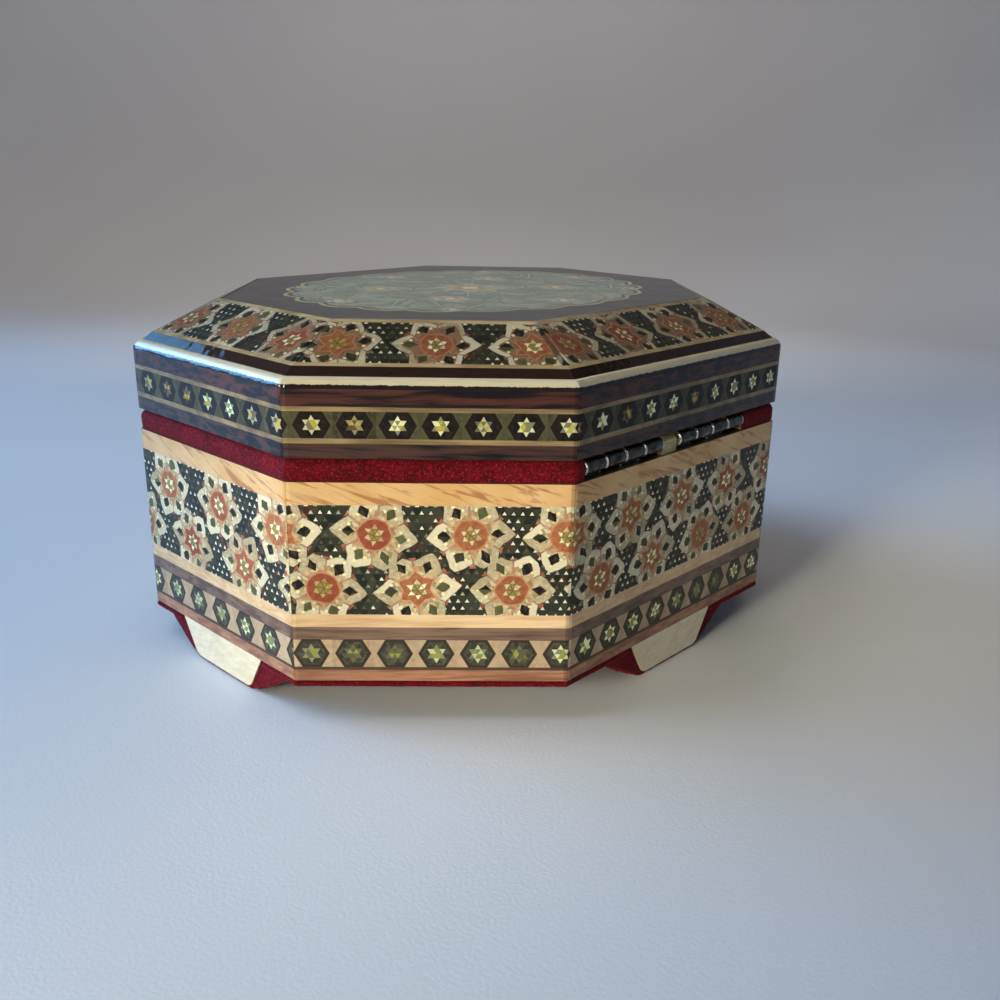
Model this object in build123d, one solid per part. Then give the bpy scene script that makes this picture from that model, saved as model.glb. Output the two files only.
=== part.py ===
from build123d import *
import math
import os

os.makedirs("parts", exist_ok=True)

# An octagonal hinged box, clad in marquetry, on four bracket feet.
# X runs along the two long faces, the hinged back is at +Y, and the feet stand on Z = 0.
# Millimetres. An inset is a distance inwards from the outside face of the octagon.

# Plan of the octagon, over the outside faces
long_side = 68.0
end_side = 50.0
corner_side = 50.0

# Thicknesses of boards, cladding and velvet
skin_t = 1.2
wall_t = 5.0
floor_t = 4.0
lining_t = 0.8
pad_t = 1.2
underside_t = 0.7

# Bands that clad the body, from the bottom up
foot_h = 8.0
base_strip_h = 2.2
star_band_h = 6.2
brown_strip_h = 2.4
light_strip_h = 2.5
flower_panel_h = 20.7
rim_strip_h = 4.1

# Velvet-covered lip on the rim, and the gap that it fills under the closed lid
lid_gap = 4.3
lip_setback = 0.15
lip_velvet_t = 0.6
lip_round = 1.5
lip_clearance = 0.3

# Bands that clad the lid, from the bottom up
lid_base_strip_h = 2.6
lid_low_stringing_h = 0.9
lid_star_band_h = 4.7
lid_high_stringing_h = 0.8
rosewood_strip_h = 3.0
shoulder_h = 1.8
ebony_h = 1.4
slope_rise = 6.1

# How far each edge of the lid's roof stands in from the outside face
ebony_bottom_inset = 1.75
slope_bottom_inset = 3.55
top_panel_inset = 16.2
slope_stringing_w = 1.0
slope_stringing_depth = 0.8

# Feet, one under the middle of each straight face
foot_top_w = 28.0
foot_bottom_w = 19.2
foot_corner_r = 2.2
foot_core_depth = 4.2
foot_velvet_t = 0.6
foot_velvet_setback = 0.3
foot_flare_w = 8.0
foot_flare_depth = 7.0
foot_flare_h = 4.5
foot_flare_sag = 0.12

# Two butt hinges let into the gap at the back, set from the corner on the right
hinge_corner_gap = 3.0
hinge_spacing = 5.55
hinge_length = 23.4
knuckle_count = 4
knuckle_gap = 0.15
barrel_r = 1.5
pin_r = 0.7
pin_clearance = 0.05
leaf_t = 0.7
leaf_w = 4.5
leaf_relief = 0.25
hinge_end_clearance = 0.4

# Round-headed nails that hold the hinge leaves
nails_per_leaf = 3
nail_end_distance = 3.2
nail_shank_r = 0.4
nail_head_r = 0.8
nail_head_h = 0.35
nail_length = 3.6
nail_clearance = 0.05
nail_inset = 4.4

# Heights that follow from the bands
base_z = foot_h
star_z = base_z + base_strip_h
brown_z = star_z + star_band_h
light_z = brown_z + brown_strip_h
flower_z = light_z + light_strip_h
rim_z = flower_z + flower_panel_h
rim_top = rim_z + rim_strip_h
floor_top = base_z + floor_t
lid_z = rim_top + lid_gap
lid_low_stringing_z = lid_z + lid_base_strip_h
lid_star_z = lid_low_stringing_z + lid_low_stringing_h
lid_high_stringing_z = lid_star_z + lid_star_band_h
rosewood_z = lid_high_stringing_z + lid_high_stringing_h
shoulder_z = rosewood_z + rosewood_strip_h
ebony_z = shoulder_z + shoulder_h
slope_z = ebony_z + ebony_h
top_z = slope_z + slope_rise

# Insets and sizes that follow from the thicknesses
wall_inset = skin_t
lining_inset = wall_inset + wall_t
cavity_inset = lining_inset + lining_t
half_length = long_side / 2 + corner_side * math.sin(math.pi / 4)
half_width = end_side / 2 + corner_side * math.sin(math.pi / 4)
corner_distance = (long_side / 2 + half_width) * math.sin(math.pi / 4)
longest_side = max(long_side, end_side, corner_side)

# The roof's slope, and the cladding on it measured square to the plan
slope_run = top_panel_inset - slope_bottom_inset
slope_length = math.hypot(slope_run, slope_rise)
stringing_run = slope_stringing_w * slope_run / slope_length
skin_drop = skin_t * slope_length / slope_run
skin_run = skin_t * slope_length / slope_rise
roof_core_inset = slope_bottom_inset + stringing_run

# The hinge axis runs along X, in the middle of the gap, with the barrel flush with the back face
axis_y = half_width - barrel_r
axis_z = rim_top + lid_gap / 2

# Middles of the two hinges along the back
right_hinge_x = long_side / 2 - hinge_corner_gap - hinge_length / 2
hinge_centres = {"left": right_hinge_x - hinge_length - hinge_spacing, "right": right_hinge_x}

# Room beyond the solids for the cutting tools
cut_margin = 5.0

# The sides in order round the octagon, from the front through the right
side_names = [
    "front",
    "front_right",
    "right",
    "back_right",
    "back",
    "back_left",
    "left",
    "front_left",
]
foot_sides = ["front", "right", "back", "left"]


def side_angle(name):
    """Direction that a side's outside face looks in, in radians."""
    return math.radians(360 * side_names.index(name) / len(side_names) - 90)


def face_distance(name):
    """Distance of a side's outside face from the middle of the octagon."""
    if name in ("front", "back"):
        return half_width
    if name in ("left", "right"):
        return half_length
    return corner_distance


def corner(index, inset):
    """Point where side index meets the side before it, on the octagon drawn in by inset."""
    before, after = side_names[index - 1], side_names[index % len(side_names)]
    a, b = side_angle(before), side_angle(after)
    p, q = face_distance(before) - inset, face_distance(after) - inset
    det = math.sin(b - a)
    return ((p * math.sin(b) - q * math.sin(a)) / det, (q * math.cos(a) - p * math.cos(b)) / det)


def octagon_face(inset, z):
    """Flat octagon at height z."""
    points = [corner(i, inset) for i in range(len(side_names))]
    return Pos(0, 0, z) * make_face(Polyline(*points, close=True))


def octagon_board(inset, z0, z1):
    """Octagonal board from z0 to z1."""
    return extrude(octagon_face(inset, z0), amount=z1 - z0)


def across_plane(name):
    """Plane square to a side: X is the inset, Y is the height, Z runs along the side."""
    angle = side_angle(name)
    n = Vector(math.cos(angle), math.sin(angle), 0)
    along = Vector(-math.sin(angle), math.cos(angle), 0)
    return Plane(origin=n * face_distance(name), x_dir=-n, z_dir=along)


def along_plane(name):
    """Plane of a side's outside face: X runs along the side, Y is the height, Z is the inset."""
    angle = side_angle(name)
    n = Vector(math.cos(angle), math.sin(angle), 0)
    along = Vector(-math.sin(angle), math.cos(angle), 0)
    return Plane(origin=n * face_distance(name), x_dir=-along, z_dir=-n)


def mitre_wedge(index, depth):
    """Prism over one side, between the two mitres, from outside the box to depth inside it."""
    points = [
        corner(index, -cut_margin),
        corner(index + 1, -cut_margin),
        corner(index + 1, depth),
        corner(index, depth),
    ]
    return extrude(make_face(Polyline(*points, close=True)), amount=top_z + cut_margin)


def mitred_pieces(section, depth):
    """The eight pieces of a moulding, one to a side, each with mitred ends."""
    pieces = {}
    for index, name in enumerate(side_names):
        bar = extrude(across_plane(name) * section, amount=longest_side, both=True)
        pieces[name] = (bar & mitre_wedge(index, depth)).solid()
    return pieces


def polygon(points):
    """Section drawn through (inset, height) points."""
    return make_face(Polyline(*points, close=True))


def band(inset, thickness, z0, z1):
    """The eight mitred pieces of a plain upright strip."""
    points = [(inset, z0), (inset + thickness, z0), (inset + thickness, z1), (inset, z1)]
    return mitred_pieces(polygon(points), inset + thickness + cut_margin)


def clad(z0, height):
    """The eight strips of cladding that lie flush with the outside faces."""
    return band(0, skin_t, z0, z0 + height)


def save(node, shape):
    """Writes one node, from one solid or a group of separate solids."""
    if isinstance(shape, dict):
        shape = Compound(children=list(shape.values()))
    shape.label = node
    export_step(shape, f"parts/{node}.step")


# Hinges

knuckle_pitch = hinge_length / knuckle_count


def cylinder_along_x(radius, x0, x1):
    """Cylinder round the hinge axis from x0 to x1."""
    plane = Plane(origin=(x0, axis_y, axis_z), x_dir=(0, 1, 0), z_dir=(1, 0, 0))
    return extrude(plane * Circle(radius), amount=x1 - x0)


def block(x0, x1, y0, y1, z0, z1):
    """Square block between two opposite corners."""
    centre = Pos((x0 + x1) / 2, (y0 + y1) / 2, (z0 + z1) / 2)
    return centre * Box(x1 - x0, y1 - y0, z1 - z0)


def nail_places(centre):
    """The X places of the nails of one hinge leaf."""
    span = hinge_length - 2 * nail_end_distance
    step = span / (nails_per_leaf - 1)
    return [centre - span / 2 + i * step for i in range(nails_per_leaf)]


def leaf(centre, upper):
    """Hinge leaf with its knuckles. The upper leaf is the lid's and has the even knuckles."""
    x0 = centre - hinge_length / 2
    seat = lid_z if upper else rim_top
    face = seat - leaf_t if upper else seat + leaf_t
    low, high = min(seat, face), max(seat, face)
    shape = block(x0, x0 + hinge_length, axis_y - leaf_w, axis_y, low, high)
    for i in range(knuckle_count):
        k0, k1 = x0 + i * knuckle_pitch, x0 + (i + 1) * knuckle_pitch
        own = (i % 2 == 0) == upper
        if own:
            a = k0 + (knuckle_gap / 2 if i > 0 else 0)
            b = k1 - (knuckle_gap / 2 if i < knuckle_count - 1 else 0)
            web = block(a, b, axis_y - barrel_r, axis_y, min(seat, axis_z), max(seat, axis_z))
            shape = shape + cylinder_along_x(barrel_r, a, b) + web
        else:
            a = k0 - knuckle_gap / 2
            b = k1 + knuckle_gap / 2
            relief = barrel_r + leaf_relief
            shape = shape - block(a, b, axis_y - relief, axis_y + relief, low, high)
    bore = cylinder_along_x(pin_r + pin_clearance, x0 - cut_margin, x0 + hinge_length + cut_margin)
    shape = shape - bore
    for x in nail_places(centre):
        hole = Cylinder(nail_shank_r + nail_clearance, 2 * (leaf_t + cut_margin))
        shape = shape - Pos(x, half_width - nail_inset, seat) * hole
    return shape.solid()


def pin(centre):
    """Hinge pin, as long as the barrel."""
    return cylinder_along_x(pin_r, centre - hinge_length / 2, centre + hinge_length / 2)


def nail(x, upper):
    """Nail driven through a leaf, up into the lid or down into the body."""
    seat = lid_z - leaf_t if upper else rim_top + leaf_t
    into = 1 if upper else -1
    shank = Pos(0, 0, into * nail_length / 2) * Cylinder(nail_shank_r, nail_length)
    head = Pos(0, 0, -into * nail_head_h / 2) * Cylinder(nail_head_r, nail_head_h)
    return Pos(x, half_width - nail_inset, seat) * (shank + head)


def nails(upper):
    """All the nails of the two upper or the two lower leaves."""
    places = [x for centre in hinge_centres.values() for x in nail_places(centre)]
    return {str(i): nail(x, upper).solid() for i, x in enumerate(places)}


def nail_holes(upper):
    """Cutting tool for the holes that the nails fill in the wood."""
    holes = None
    for centre in hinge_centres.values():
        for x in nail_places(centre):
            hole = Cylinder(nail_shank_r + nail_clearance, 2 * nail_length)
            placed = Pos(x, half_width - nail_inset, lid_z if upper else rim_top) * hole
            holes = placed if holes is None else holes + placed
    return holes


def hinge_span(name):
    """The X range that one hinge takes out of the lip, with its end clearance."""
    reach = hinge_length / 2 + hinge_end_clearance
    return hinge_centres[name] - reach, hinge_centres[name] + reach


def lip_cut(x0, x1):
    """Cutting tool that takes a stretch out of the lip at the back."""
    return block(x0, x1, half_width - lining_inset, half_width + cut_margin, rim_top, lid_z)


# Body of the box

def make_carcass():
    """Floor board, and the eight wall boards that stand on it."""
    save("floor_board", octagon_board(wall_inset, base_z, floor_top).solid())
    walls = band(wall_inset, wall_t, floor_top, rim_top)
    walls["back"] = (walls["back"] - nail_holes(False)).solid()
    for name, wall in walls.items():
        save(f"wall_{name}", wall)


def make_body_cladding():
    """Strips and marquetry sheets that clad the walls and the edge of the floor board."""
    save("base_strips", clad(base_z, base_strip_h))
    save("star_band", clad(star_z, star_band_h))
    save("brown_strips", clad(brown_z, brown_strip_h))
    save("light_strips", clad(light_z, light_strip_h))
    save("flower_panels", clad(flower_z, flower_panel_h))
    save("rim_strips", clad(rim_z, rim_strip_h))


def make_rim():
    """Wooden lip on the rim, and the velvet that wraps its outside and top."""
    outer = lip_setback
    core = lip_setback + lip_velvet_t
    top = lid_z - lip_clearance
    core_top = top - lip_velvet_t
    core_cut = lip_round - lip_velvet_t
    core_edge = [
        (core, rim_top),
        (core, core_top - core_cut),
        (core + core_cut, core_top),
        (lining_inset, core_top),
    ]
    lips = mitred_pieces(polygon(core_edge + [(lining_inset, rim_top)]), lining_inset + cut_margin)
    for name in hinge_centres:
        lips["back"] = lips["back"] - lip_cut(*hinge_span(name))
    save("rim_lip", Compound(children=[s for lip in lips.values() for s in lip.solids()]))

    centre = (outer + lip_round, top - lip_round)
    bow = lip_round * math.sin(math.pi / 4)
    outline = [
        Line((outer, rim_top), (outer, centre[1])),
        ThreePointArc((outer, centre[1]), (centre[0] - bow, centre[1] + bow), (centre[0], top)),
        Line((centre[0], top), (lining_inset, top)),
        Line((lining_inset, top), (lining_inset, core_top)),
        Polyline(*reversed(core_edge)),
        Line((core, rim_top), (outer, rim_top)),
    ]
    velvet = mitred_pieces(make_face(Curve() + outline), lining_inset + cut_margin)
    x0 = min(hinge_span(name)[0] for name in hinge_centres)
    x1 = max(hinge_span(name)[1] for name in hinge_centres)
    velvet["back"] = velvet["back"] - lip_cut(x0, x1)
    pieces = [s for piece in velvet.values() for s in piece.solids()]
    save("velvet_rim_band", Compound(children=pieces))


def make_linings():
    """Velvet inside the body, on the underside and inside the lid."""
    lining_top = lid_z - lip_clearance
    save("velvet_wall_lining", band(lining_inset, lining_t, floor_top, lining_top))
    save("velvet_floor_pad", octagon_board(cavity_inset, floor_top, floor_top + pad_t).solid())
    sheet = octagon_board(foot_velvet_setback, base_z - underside_t, base_z)
    for name in foot_sides:
        sheet = sheet - foot_footprint(name)
    save("velvet_underside", sheet.solid())
    save("velvet_lid_lining", band(lining_inset, lining_t, lid_z, shoulder_z))
    save("velvet_lid_pad", octagon_board(cavity_inset, shoulder_z - pad_t, shoulder_z).solid())


# Feet

def foot_profile():
    """Front outline of a foot: a trapezoid with rounded lower corners."""
    points = [
        (-foot_top_w / 2, foot_h),
        (-foot_bottom_w / 2, foot_velvet_t),
        (foot_bottom_w / 2, foot_velvet_t),
        (foot_top_w / 2, foot_h),
    ]
    outline = make_face(Polyline(*points, close=True))
    lower = outline.vertices().sort_by(Axis.Y)[:2]
    return fillet(lower, radius=foot_corner_r)


def flare_arc(start, end):
    """Hollow curve of the velvet, drawn towards the corner that it bridges."""
    middle = ((start[0] + end[0]) / 2, (start[1] + end[1]) / 2)
    run, rise = end[0] - start[0], end[1] - start[1]
    bow = (middle[0] - foot_flare_sag * rise, middle[1] + foot_flare_sag * run)
    return ThreePointArc(start, bow, end)


def flared_half_width(z):
    """Half the width over the velvet at height z, below the flare."""
    taper = (foot_top_w - foot_bottom_w) / 2 / (foot_h - foot_velvet_t)
    return foot_bottom_w / 2 + foot_velvet_t + taper * (z - foot_velvet_t)


def flared_front():
    """Front outline of the velvet, which flares out to the underside at both ends."""
    knee = foot_h - foot_flare_h
    sheet = foot_h - underside_t
    half = foot_top_w / 2 + foot_flare_w
    foot = (flared_half_width(0), 0)
    bend = (flared_half_width(knee), knee)
    right = [Line(foot, bend), flare_arc(bend, (half, sheet)), Line((half, sheet), (half, foot_h))]
    left = [mirror(edge, Plane.YZ) for edge in right]
    ends = [Line((-foot[0], 0), foot), Line((half, foot_h), (-half, foot_h))]
    return make_face(Curve() + right + left + ends)


def flared_side():
    """Side outline of the velvet, which flares inwards to the underside."""
    knee = foot_h - foot_flare_h
    sheet = foot_h - underside_t
    back = skin_t + foot_core_depth + foot_velvet_t
    deep = back + foot_flare_depth
    outline = [
        Line((foot_velvet_setback, 0), (back, 0)),
        Line((back, 0), (back, knee)),
        flare_arc((back, knee), (deep, sheet)),
        Line((deep, sheet), (deep, foot_h)),
        Line((deep, foot_h), (foot_velvet_setback, foot_h)),
        Line((foot_velvet_setback, foot_h), (foot_velvet_setback, 0)),
    ]
    return make_face(Curve() + outline)


def foot_footprint(name):
    """Cutting tool for the room that a foot's velvet takes out of the underside sheet."""
    half = foot_top_w / 2 + foot_flare_w
    deep = skin_t + foot_core_depth + foot_velvet_t + foot_flare_depth
    outline = make_face(
        Polyline((-half, 0), (half, 0), (half, foot_h), (-half, foot_h), close=True)
    )
    plane = along_plane(name)
    return extrude(plane.offset(-cut_margin) * outline, amount=deep + cut_margin)


def make_foot(name):
    """One bracket foot: pale facing, wooden block behind it, and velvet round the block."""
    plane = along_plane(name)
    facing = extrude(plane * foot_profile(), amount=skin_t)
    core = extrude(plane.offset(skin_t) * foot_profile(), amount=foot_core_depth)
    reach = skin_t + foot_core_depth + foot_velvet_t + foot_flare_depth
    velvet = extrude(plane * flared_front(), amount=reach)
    velvet = velvet & extrude(across_plane(name) * flared_side(), amount=longest_side, both=True)
    save(f"foot_{name}_facing", facing.solid())
    save(f"foot_{name}_block", core.solid())
    save(f"foot_{name}_velvet", (velvet - facing - core).solid())


# Lid

def slope_height(inset):
    """Height of the roof's face at an inset on the slope."""
    return slope_z + (inset - slope_bottom_inset) * slope_rise / slope_run


def make_roof():
    """Core board of the roof and everything that clads it."""
    depth = top_panel_inset + cut_margin
    seat_inset = slope_bottom_inset + skin_run
    low_seam = roof_core_inset
    high_seam = top_panel_inset - stringing_run
    low_string = [
        (slope_bottom_inset, slope_z - slope_stringing_depth),
        (low_seam, slope_z - slope_stringing_depth),
        (low_seam, slope_height(low_seam)),
        (slope_bottom_inset, slope_z),
    ]
    sheet = [
        (low_seam, slope_z),
        (seat_inset, slope_z),
        (high_seam, slope_height(high_seam) - skin_drop),
        (high_seam, slope_height(high_seam)),
        (low_seam, slope_height(low_seam)),
    ]
    high_string = [
        (high_seam, slope_height(high_seam) - skin_drop),
        (top_panel_inset, top_z - skin_drop),
        (top_panel_inset, top_z),
        (high_seam, slope_height(high_seam)),
    ]
    save("slope_stringing_low", mitred_pieces(polygon(low_string), depth))
    save("slope_panels", mitred_pieces(polygon(sheet), depth))
    save("slope_stringing_high", mitred_pieces(polygon(high_string), depth))
    save("top_panel", octagon_board(top_panel_inset, top_z - skin_drop, top_z).solid())

    square_part = octagon_board(roof_core_inset, shoulder_z, slope_z)
    bevel = [octagon_face(seat_inset, slope_z), octagon_face(top_panel_inset, top_z - skin_drop)]
    save("lid_top_board", (square_part + loft(bevel)).solid())


def make_shoulder():
    """Rounded shoulder moulding under the roof, and the ebony strip above it."""
    top = (ebony_bottom_inset, ebony_z)
    bow = math.sin(math.pi / 4)
    middle = (ebony_bottom_inset * (1 - bow), shoulder_z + shoulder_h * bow)
    outline = [
        ThreePointArc((0, shoulder_z), middle, top),
        Line(top, (roof_core_inset, ebony_z)),
        Line((roof_core_inset, ebony_z), (roof_core_inset, shoulder_z)),
        Line((roof_core_inset, shoulder_z), (0, shoulder_z)),
    ]
    depth = roof_core_inset + cut_margin
    save("shoulder_moulding", mitred_pieces(make_face(Curve() + outline), depth))
    ebony = [
        top,
        (roof_core_inset, ebony_z),
        (roof_core_inset, slope_z - slope_stringing_depth),
        (slope_bottom_inset, slope_z - slope_stringing_depth),
        (slope_bottom_inset, slope_z),
    ]
    save("ebony_strips", mitred_pieces(polygon(ebony), depth))


def make_lid_sides():
    """Wall boards of the lid, and the strips and marquetry that clad them."""
    walls = band(wall_inset, wall_t, lid_z, shoulder_z)
    walls["back"] = (walls["back"] - nail_holes(True)).solid()
    save("lid_walls", walls)
    save("lid_base_strips", clad(lid_z, lid_base_strip_h))
    save("lid_stringing_low", clad(lid_low_stringing_z, lid_low_stringing_h))
    save("lid_star_band", clad(lid_star_z, lid_star_band_h))
    save("lid_stringing_high", clad(lid_high_stringing_z, lid_high_stringing_h))
    save("rosewood_strips", clad(rosewood_z, rosewood_strip_h))


def make_hinges():
    """Two hinges, each with a leaf on the body, a leaf on the lid, and a pin."""
    for name, centre in hinge_centres.items():
        save(f"hinge_{name}_body_leaf", leaf(centre, False))
        save(f"hinge_{name}_lid_leaf", leaf(centre, True))
        save(f"hinge_{name}_pin", pin(centre).solid())
    save("hinge_body_nails", nails(False))
    save("hinge_lid_nails", nails(True))


make_carcass()
make_body_cladding()
make_rim()
make_linings()
for foot_side in foot_sides:
    make_foot(foot_side)
make_lid_sides()
make_shoulder()
make_roof()
make_hinges()
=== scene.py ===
import math

import bmesh
import bpy
from mathutils import Matrix, Vector, noise


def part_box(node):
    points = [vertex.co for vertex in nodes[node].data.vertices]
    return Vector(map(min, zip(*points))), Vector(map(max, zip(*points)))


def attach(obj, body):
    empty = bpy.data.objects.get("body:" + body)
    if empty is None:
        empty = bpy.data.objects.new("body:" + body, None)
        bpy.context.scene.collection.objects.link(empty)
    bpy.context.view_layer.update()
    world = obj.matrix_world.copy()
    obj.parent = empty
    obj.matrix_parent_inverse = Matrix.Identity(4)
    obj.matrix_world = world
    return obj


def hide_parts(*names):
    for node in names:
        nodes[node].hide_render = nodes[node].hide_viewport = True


# The finish of an octagonal marquetry box: its woods, inlay, lacquer, velvet, hinges and light.
# Lengths in the materials and meshes are millimetres, and metres begin where a mesh is made.
# In a function that makes a material, p is the Paint that holds the material's nodes.

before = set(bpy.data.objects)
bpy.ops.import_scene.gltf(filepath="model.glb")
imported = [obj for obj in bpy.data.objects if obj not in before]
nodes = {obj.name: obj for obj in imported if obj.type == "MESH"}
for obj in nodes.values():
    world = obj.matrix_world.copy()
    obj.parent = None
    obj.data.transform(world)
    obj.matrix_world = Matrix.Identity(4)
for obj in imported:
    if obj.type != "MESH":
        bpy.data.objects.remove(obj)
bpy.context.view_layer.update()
mm = 0.001
root3 = math.sqrt(3)
X, Y, Z = range(3)


# Sizes read from the model's parts

def extent(node, axis):
    """Lowest and highest place of a node along an axis, in millimetres."""
    low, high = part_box(node)
    return low[axis] / mm, high[axis] / mm


half_length = extent("flower_panels", X)[1]
half_width = extent("flower_panels", Y)[1]
corner_distance = max(v.co.x + v.co.y for v in nodes["flower_panels"].data.vertices) / math.sqrt(2) / mm
long_side = 2 * (corner_distance * math.sqrt(2) - half_width)
end_side = 2 * (corner_distance * math.sqrt(2) - half_length)
underside_z, floor_top = extent("floor_board", Z)
lid_z = extent("lid_base_strips", Z)[0]
roof_z = extent("lid_walls", Z)[1]
side_count = 8
back_side = 4
knuckle_count = 4

# How far in from the outside of the panels the inner faces of the walls and of their lining lie
wall_inset = half_length - min(v.co.x for v in nodes["wall_right"].data.vertices) / mm
lining_inset = half_length - extent("velvet_floor_pad", X)[1]


# Arithmetic on materials

class Num:
    """A number that varies over a surface, as the output of one of a material's nodes."""

    def __init__(self, paint, socket):
        self.paint = paint
        self.socket = socket

    def __rsub__(self, other):
        return self.paint.math("SUBTRACT", other, self)


def operator(operation):
    """Method of a Num that makes a math node."""
    return lambda self, *others: self.paint.math(operation, self, *others)


# Operators, and the math nodes that they make
operators = {
    "add": "ADD", "radd": "ADD", "sub": "SUBTRACT", "mul": "MULTIPLY", "rmul": "MULTIPLY",
    "truediv": "DIVIDE", "pow": "POWER", "lt": "LESS_THAN", "gt": "GREATER_THAN", "abs": "ABSOLUTE",
}
for name, operation in operators.items():
    setattr(Num, f"__{name}__", operator(operation))


def linear(red, green, blue):
    """Linear colour from values of 0 to 255 as they look on a screen."""
    return tuple(((c / 255 + 0.055) / 1.055) ** 2.4 for c in (red, green, blue))


# Added to a direction, so that the angle of the side that looks along -X is always plus half a turn
off_seam = 0.0005

# How far from a corner its dark joint reaches, and where and how deep the surface leans over to it
joint_width = 0.16
lean_start, lean_end, lean_depth = -0.1, 0.8, 0.3


class Paint:
    """The nodes of one material, with short names for the ones used here."""

    def __init__(self, name):
        self.material = bpy.data.materials.new(name)
        self.material.use_nodes = True
        self.tree = self.material.node_tree
        self.shader = self.tree.nodes["Principled BSDF"]
        self.corner_gap = None

    def feed(self, socket, value):
        """Links a socket, or sets it. Colours are tuples as seen on a screen, or lists if linear."""
        if isinstance(value, Num):
            value = value.socket
        if isinstance(value, bpy.types.NodeSocket):
            self.tree.links.new(value, socket)
        elif isinstance(value, list):
            socket.default_value = (*value, 1.0)
        elif isinstance(value, tuple) and len(socket.default_value) == 4:
            socket.default_value = (*linear(*value), 1.0)
        else:
            socket.default_value = value

    def feed_all(self, node, **inputs):
        """Feeds a node: a word names one of its sockets, with underscores for spaces."""
        for name, value in inputs.items():
            self.feed(node.inputs[name.replace("_", " ").title().replace("Ior", "IOR")], value)
        return node

    def node(self, kind, *values, **settings):
        """Makes a node, with its settings, and feeds its first sockets in order."""
        made = self.tree.nodes.new("ShaderNode" + kind)
        for name, value in settings.items():
            setattr(made, name, value)
        for socket, value in zip(made.inputs, values):
            self.feed(socket, value)
        return made

    def math(self, operation, *values):
        return Num(self, self.node("Math", *values, operation=operation).outputs[0])

    def vector(self, x, y, z=0.0):
        return self.node("CombineXYZ", x, y, z).outputs[0]

    def split(self, vector):
        return [Num(self, out) for out in self.node("SeparateXYZ", vector).outputs]

    def floor(self, value):
        return self.math("FLOOR", value)

    def round(self, value):
        return self.floor(value + 0.5)

    def max(self, a, b):
        return self.math("MAXIMUM", a, b)

    def min(self, a, b):
        return self.math("MINIMUM", a, b)

    def length(self, x, y):
        return self.math("SQRT", x * x + y * y)

    def ramp(self, value, start, end, low=0.0, high=1.0):
        """Goes smoothly from low to high as a value goes from start to end."""
        made = self.node("MapRange", value, start, end, low, high, interpolation_type="SMOOTHSTEP")
        return Num(self, made.outputs[0])

    def noise(self, vector, scale, detail=2.0, rough=0.5, distortion=0.0):
        made = self.feed_all(self.node("TexNoise"), vector=vector, scale=scale, detail=detail)
        self.feed_all(made, roughness=rough, distortion=distortion)
        return Num(self, made.outputs["Fac"])

    def dice(self, x, y, z=0.0):
        """Three random numbers from 0 to 1 for a cell."""
        made = self.node("TexWhiteNoise", noise_dimensions="3D")
        self.feed_all(made, vector=self.vector(x, y, z))
        return self.split(made.outputs["Color"])

    def mix(self, mask, under, over, blend="MIX"):
        """Colour that is under where the mask is 0 and over where it is 1."""
        made = self.node("Mix", mask, data_type="RGBA", blend_type=blend)
        # A Mix node has its colours as inputs 6 and 7, and output 2
        self.feed(made.inputs[6], under)
        self.feed(made.inputs[7], over)
        return made.outputs[2]

    def layers(self, colour, *layers):
        """Colour with others laid over it in turn, each given after its mask."""
        for mask, over in layers:
            colour = self.mix(mask, colour, over)
        return colour

    def here(self):
        """The point on the object, in millimetres."""
        scaled = self.node("VectorMath", self.node("TexCoord").outputs["Object"], operation="SCALE")
        return self.feed_all(scaled, scale=1 / mm).outputs[0]

    def facing(self):
        """X and Y of the direction in plan that the face looks in, of length 1."""
        normal = self.node("NewGeometry").outputs["True Normal"]
        spaces = {"convert_from": "WORLD", "convert_to": "OBJECT"}
        turned = self.node("VectorTransform", normal, vector_type="NORMAL", **spaces)
        flat = self.node("VectorMath", turned.outputs[0], (1.0, 1.0, 0.0), operation="MULTIPLY")
        flat = self.node("VectorMath", flat.outputs[0], operation="NORMALIZE")
        return self.split(flat.outputs[0])[:2]

    def side(self):
        """Place along a side of the octagon and up it, its number and facing. Keeps the corner gap."""
        x, y, z = self.split(self.here())
        nx, ny = self.facing()
        more = long_side - end_side
        along = nx * y - ny * x + nx * ny * (more / math.sqrt(2))
        turn = self.math("ARCTAN2", ny + off_seam, nx)
        number = self.round(turn * (side_count / math.tau))
        half = self.max(ny * ny * 2.0 - 1.0, 0.0) * (more / 2) + end_side / 2
        self.corner_gap = half - abs(along)
        return along, z, number, nx, ny

    def joint(self):
        """Mask of the dark joint at a corner of the octagon."""
        return self.ramp(self.corner_gap, 0.0, joint_width, 0.5, 0.0)

    def bump(self, height, distance, normal=None):
        """Normal that follows a height of 0 to 1, which stands for a depth in millimetres."""
        made = self.node("Bump")
        self.feed_all(made, strength=1.0, distance=distance * mm, height=height)
        if normal is not None:
            self.feed_all(made, normal=normal)
        return made.outputs[0]

    def corner_bump(self, height, distance):
        """The same, over a normal that leans over towards the next side near a corner."""
        lean = self.bump(self.ramp(self.corner_gap, lean_start, lean_end), lean_depth)
        return self.bump(height, distance, lean)

    def finish(self, colour, **inputs):
        """Feeds the shader and gives the material."""
        self.feed_all(self.shader, base_color=colour, **inputs)
        return self.material


varnish_ior = 1.5
lacquer_ior = 1.55


def coat(normal, weight, roughness, ior):
    """What the shader is fed for a clear coat."""
    return {"coat_normal": normal, "coat_weight": weight, "coat_roughness": roughness, "coat_ior": ior}


# Triangles, stars and flowers of the inlay

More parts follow.
